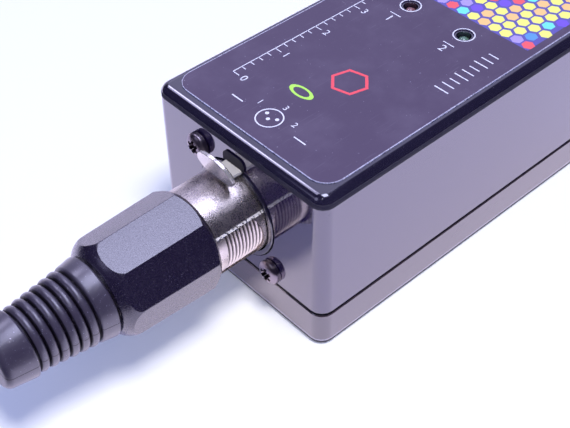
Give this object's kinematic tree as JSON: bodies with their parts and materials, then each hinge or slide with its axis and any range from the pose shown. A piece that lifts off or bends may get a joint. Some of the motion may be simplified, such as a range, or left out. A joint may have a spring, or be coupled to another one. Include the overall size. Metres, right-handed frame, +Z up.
{
  "type": "usb dmx interface",
  "caption": "Small black lighting-control interface box with a square USB socket, a round three-pole socket with a push latch, and its cable plug with housing and ribbed boot.",
  "frame": {"origin": "middle of the box's flat bottom face, which rests on the table", "axes": "+Z up through the box; +Y along the box and both connectors' axes, towards the square USB socket, so the round socket faces -Y and its plug pulls out that way; +X to the right when one looks along +Y"},
  "size_m": [0.0494, 0.1573, 0.0402],
  "materials": {
    "case_plastic": "piano-black moulded plastic, mirror-like",
    "label": "printed film, satin",
    "zinc_screws": "bright zinc",
    "black_screws": "black-plated steel, glossy",
    "socket_plastic": "black glass-filled plastic, satin",
    "insulator": "black moulding, satin",
    "silvered_contacts": "silver plate",
    "nickel": "nickel plate, finely grained",
    "bright_steel": "plain steel",
    "gilt_contacts": "gold flash",
    "circuit_board": "green solder resist",
    "red_lamp": "clear red epoxy",
    "green_lamp": "clear green epoxy",
    "chip_plastic": "black epoxy",
    "capacitor_sleeve": "shrunk sleeve",
    "clamp_plastic": "natural nylon",
    "housing_plastic": "black moulding with fine grain",
    "boot_rubber": "black rubber, dull sheen"
  },
  "bodies": {
    "case": {"upper_shell": "case_plastic", "base_lid": "case_plastic", "top_label": "label", "case_screw_1": "zinc_screws", "case_screw_2": "zinc_screws", "case_screw_3": "zinc_screws", "case_screw_4": "zinc_screws", "board_screw_1": "zinc_screws", "board_screw_2": "zinc_screws", "board_screw_3": "zinc_screws", "board_screw_4": "zinc_screws", "socket_screw_1": "black_screws", "socket_screw_2": "black_screws", "socket_body": "socket_plastic", "socket_insert": "insulator", "socket_contact_1": "silvered_contacts", "socket_contact_2": "silvered_contacts", "socket_contact_3": "silvered_contacts", "latch_pivot_pin": "bright_steel", "latch_spring": "bright_steel", "circuit_board": "circuit_board", "usb_socket_shell": "bright_steel", "usb_socket_block": "insulator", "usb_contact_1": "gilt_contacts", "usb_contact_2": "gilt_contacts", "usb_contact_3": "gilt_contacts", "usb_contact_4": "gilt_contacts", "lamp_power": "red_lamp", "lamp_link": "green_lamp", "controller_chip": "chip_plastic", "isolator_chip": "chip_plastic", "line_driver_chip": "chip_plastic", "isolated_converter": "chip_plastic", "crystal": "bright_steel", "capacitor": "capacitor_sleeve", "resistor_1": "chip_plastic", "resistor_2": "chip_plastic", "resistor_3": "chip_plastic", "resistor_4": "chip_plastic", "resistor_5": "chip_plastic"},
    "latch": {"latch_lever": "nickel"},
    "plug": {"plug_shell": "nickel", "plug_insert": "insulator", "plug_pin_1": "silvered_contacts", "plug_pin_2": "silvered_contacts", "plug_pin_3": "silvered_contacts", "cable_clamp": "clamp_plastic", "plug_housing": "housing_plastic", "cable_boot": "boot_rubber"}
  },
  "joints": [
    {"name": "plug_slide", "type": "slide", "parent": "case", "child": "plug", "axis": [0, -1, 0], "range_m": [0, 0.025]},
    {"name": "latch_pivot", "type": "hinge", "parent": "case", "child": "latch", "pos_m": [0, -0.0385, 0.03408], "axis": [1, 0, 0], "range_deg": [-4, 0], "stiffness_Nm_per_rad": 0.4, "springref_deg": 2.86, "deforming": ["latch_spring"]}
  ]
}
